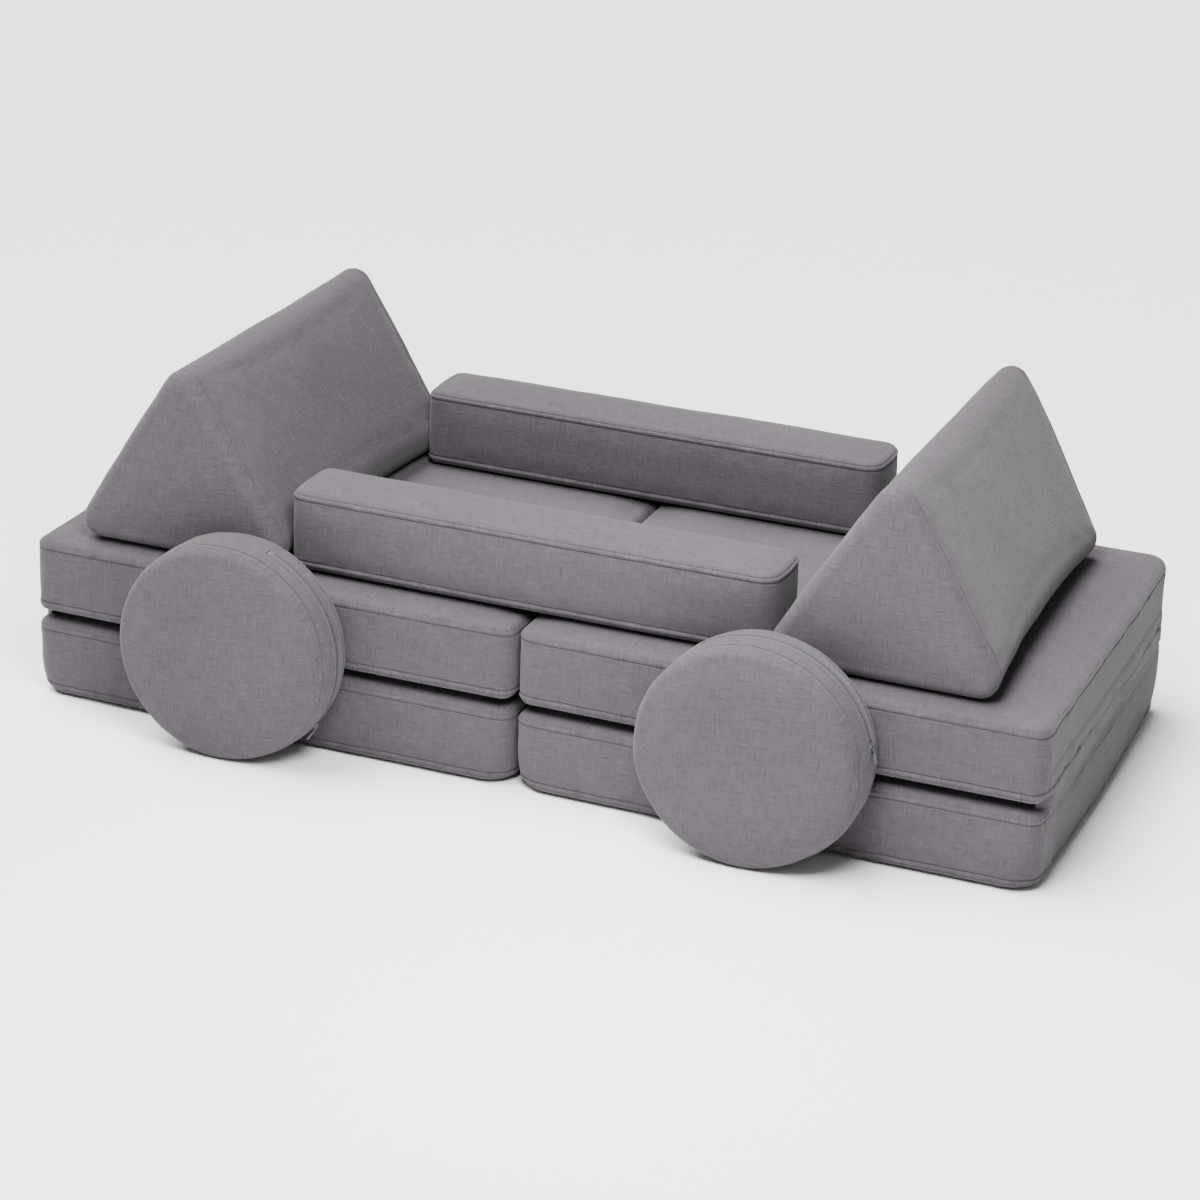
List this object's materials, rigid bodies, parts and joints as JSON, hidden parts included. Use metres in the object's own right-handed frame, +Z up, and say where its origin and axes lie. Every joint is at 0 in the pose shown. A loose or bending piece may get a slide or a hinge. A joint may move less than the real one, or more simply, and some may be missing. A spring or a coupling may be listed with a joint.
{
  "type": "modular foam play sofa",
  "caption": "Set of loose foam blocks in sewn covers, stacked as a low play sofa: folding mats, bars, triangles and discs.",
  "frame": {"origin": "middle of the whole footprint, on the floor that the lower slabs and the discs stand on", "axes": "+X along the sofa to the right, +Y to the back, +Z up; the discs lean on the front, at -Y"},
  "size_m": [1.4036, 0.7466, 0.4806],
  "materials": {
    "cover_fabric": "matte",
    "foam": "matte",
    "zip_tape": "matte",
    "zip_metal": "satin"
  },
  "bodies": {
    "left_seat": {"left_upper_cover": "cover_fabric", "left_upper_foam": "foam", "left_upper_zip": "zip_tape", "left_hinge_strip": "cover_fabric"},
    "left_base": {"left_lower_cover": "cover_fabric", "left_lower_foam": "foam", "left_lower_zip": "zip_tape"},
    "right_seat": {"right_upper_cover": "cover_fabric", "right_upper_foam": "foam", "right_upper_zip": "zip_tape", "right_hinge_strip": "cover_fabric"},
    "right_base": {"right_lower_cover": "cover_fabric", "right_lower_foam": "foam", "right_lower_zip": "zip_tape"},
    "front_bar": {"front_bar_cover": "cover_fabric", "front_bar_foam": "foam", "front_bar_zip": "zip_tape"},
    "back_bar": {"back_bar_cover": "cover_fabric", "back_bar_foam": "foam", "back_bar_zip": "zip_tape"},
    "left_triangle": {"left_triangle_cover": "cover_fabric", "left_triangle_foam": "foam", "left_triangle_zip": "zip_tape"},
    "right_triangle": {"right_triangle_cover": "cover_fabric", "right_triangle_foam": "foam", "right_triangle_zip": "zip_tape"},
    "left_disc": {"left_disc_cover": "cover_fabric", "left_disc_foam": "foam", "left_disc_zip": "zip_tape"},
    "right_disc": {"right_disc_cover": "cover_fabric", "right_disc_foam": "foam", "right_disc_zip": "zip_tape"},
    "left_upper_slider": {"left_upper_zip_slider": "zip_metal"},
    "left_lower_slider": {"left_lower_zip_slider": "zip_metal"},
    "right_upper_slider": {"right_upper_zip_slider": "zip_metal"},
    "right_lower_slider": {"right_lower_zip_slider": "zip_metal"},
    "front_bar_slider": {"front_bar_zip_slider": "zip_metal"},
    "back_bar_slider": {"back_bar_zip_slider": "zip_metal"},
    "left_triangle_slider": {"left_triangle_zip_slider": "zip_metal"},
    "right_triangle_slider": {"right_triangle_zip_slider": "zip_metal"},
    "left_disc_slider": {"left_disc_zip_slider": "zip_metal"},
    "right_disc_slider": {"right_disc_zip_slider": "zip_metal"}
  },
  "joints": [
    {"name": "left_mat_fold", "type": "hinge", "parent": "left_seat", "child": "left_base", "pos_m": [-0.70105, 0.04486, 0.115], "axis": [0, 1, 0], "range_deg": [0, 180], "deforming": ["left_hinge_strip"]},
    {"name": "right_mat_fold", "type": "hinge", "parent": "right_seat", "child": "right_base", "pos_m": [0.70105, 0.04486, 0.115], "axis": [0, -1, 0], "range_deg": [0, 180], "deforming": ["right_hinge_strip"]},
    {"name": "right_mat_slide", "type": "slide", "parent": "left_seat", "child": "right_seat", "axis": [1, 0, 0], "range_m": [0, 0.25]},
    {"name": "front_bar_lift", "type": "slide", "parent": "left_seat", "child": "front_bar", "axis": [0, 0, 1], "range_m": [0, 0.25]},
    {"name": "back_bar_lift", "type": "slide", "parent": "left_seat", "child": "back_bar", "axis": [0, 0, 1], "range_m": [0, 0.25]},
    {"name": "left_triangle_lift", "type": "slide", "parent": "left_seat", "child": "left_triangle", "axis": [0, 0, 1], "range_m": [0, 0.35]},
    {"name": "right_triangle_lift", "type": "slide", "parent": "right_seat", "child": "right_triangle", "axis": [0, 0, 1], "range_m": [0, 0.35]},
    {"name": "left_disc_pull", "type": "slide", "parent": "left_seat", "child": "left_disc", "axis": [0, -1, 0], "range_m": [0, 0.3]},
    {"name": "right_disc_pull", "type": "slide", "parent": "right_seat", "child": "right_disc", "axis": [0, -1, 0], "range_m": [0, 0.3]},
    {"name": "left_upper_zip_run", "type": "slide", "parent": "left_seat", "child": "left_upper_slider", "axis": [-1, 0, 0], "range_m": [0, 0.478]},
    {"name": "left_lower_zip_run", "type": "slide", "parent": "left_base", "child": "left_lower_slider", "axis": [-1, 0, 0], "range_m": [0, 0.478]},
    {"name": "right_upper_zip_run", "type": "slide", "parent": "right_seat", "child": "right_upper_slider", "axis": [-1, 0, 0], "range_m": [0, 0.478]},
    {"name": "right_lower_zip_run", "type": "slide", "parent": "right_base", "child": "right_lower_slider", "axis": [-1, 0, 0], "range_m": [0, 0.478]},
    {"name": "front_bar_zip_run", "type": "slide", "parent": "front_bar", "child": "front_bar_slider", "axis": [-1, 0, 0], "range_m": [0, 0.458]},
    {"name": "back_bar_zip_run", "type": "slide", "parent": "back_bar", "child": "back_bar_slider", "axis": [-1, 0, 0], "range_m": [0, 0.458]},
    {"name": "left_triangle_zip_run", "type": "slide", "parent": "left_triangle", "child": "left_triangle_slider", "axis": [-1, 0, 0], "range_m": [0, 0.178]},
    {"name": "right_triangle_zip_run", "type": "slide", "parent": "right_triangle", "child": "right_triangle_slider", "axis": [-1, 0, 0], "range_m": [0, 0.178]},
    {"name": "left_disc_zip_run", "type": "hinge", "parent": "left_disc", "child": "left_disc_slider", "pos_m": [-0.374, -0.32537, 0.14848], "axis": [0, -0.9998, 0.0174], "range_deg": [0, 101]},
    {"name": "right_disc_zip_run", "type": "hinge", "parent": "right_disc", "child": "right_disc_slider", "pos_m": [0.347, -0.32537, 0.14848], "axis": [0, -0.9998, 0.0174], "range_deg": [0, 101]}
  ]
}
